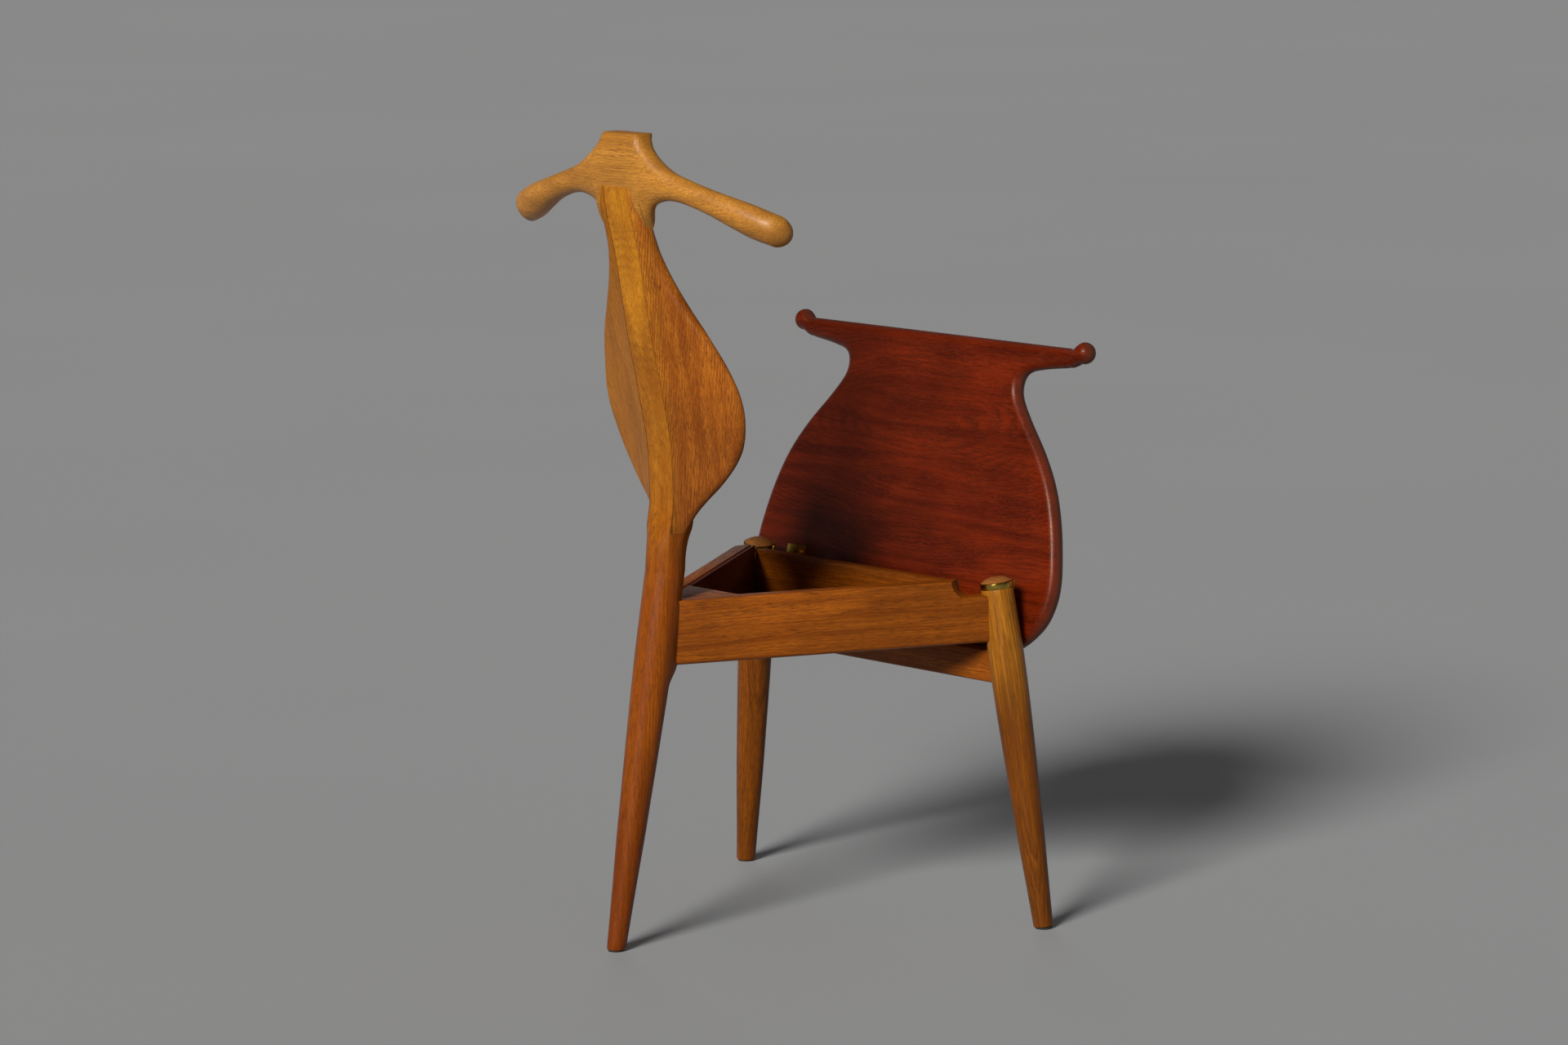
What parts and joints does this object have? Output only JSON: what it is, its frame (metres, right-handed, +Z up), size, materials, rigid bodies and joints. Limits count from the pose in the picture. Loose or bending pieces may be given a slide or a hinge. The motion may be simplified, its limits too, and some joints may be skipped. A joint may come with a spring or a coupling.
{
  "type": "clothes valet chair",
  "caption": "Three-legged wooden valet chair with a hanger-shaped back, a tip-up lid seat with a trouser bar and a storage box under the seat.",
  "frame": {"origin": "on the floor, in the middle of the object's box as it stands with the seat up", "axes": "+Z up, +X to the right of the seat seen from the front, +Y to the rear"},
  "size_m": [0.5412, 0.5527, 0.95],
  "materials": {
    "oak_oiled": "satin oil",
    "teak_seat": "satin oil",
    "box_lining": "matte",
    "brass": "polished",
    "foot_pad": "matte"
  },
  "bodies": {
    "frame": {"rear_leg": "oak_oiled", "back_wing_left": "oak_oiled", "back_wing_right": "oak_oiled", "coat_hanger": "oak_oiled", "front_leg_left": "oak_oiled", "front_leg_right": "oak_oiled", "leg_ring_left": "brass", "leg_ring_right": "brass", "leg_cap_left": "oak_oiled", "leg_cap_right": "oak_oiled", "side_rail_left": "oak_oiled", "side_rail_right": "oak_oiled", "front_rail": "oak_oiled", "box_front": "oak_oiled", "box_side_left": "box_lining", "box_side_right": "box_lining", "box_floor": "box_lining", "corner_block_left": "oak_oiled", "corner_block_right": "oak_oiled", "foot_pads": "foot_pad", "hinge_pin_left": "brass", "hinge_pin_right": "brass"},
    "seat": {"seat_board": "teak_seat", "hinge_plate_left": "brass", "hinge_plate_right": "brass", "hinge_screws": "brass"}
  },
  "joints": [
    {"name": "seat_hinge", "type": "hinge", "parent": "frame", "child": "seat", "pos_m": [0, -0.16543, 0.39398], "axis": [-1, 0, 0], "range_deg": [0, 104.6]}
  ]
}
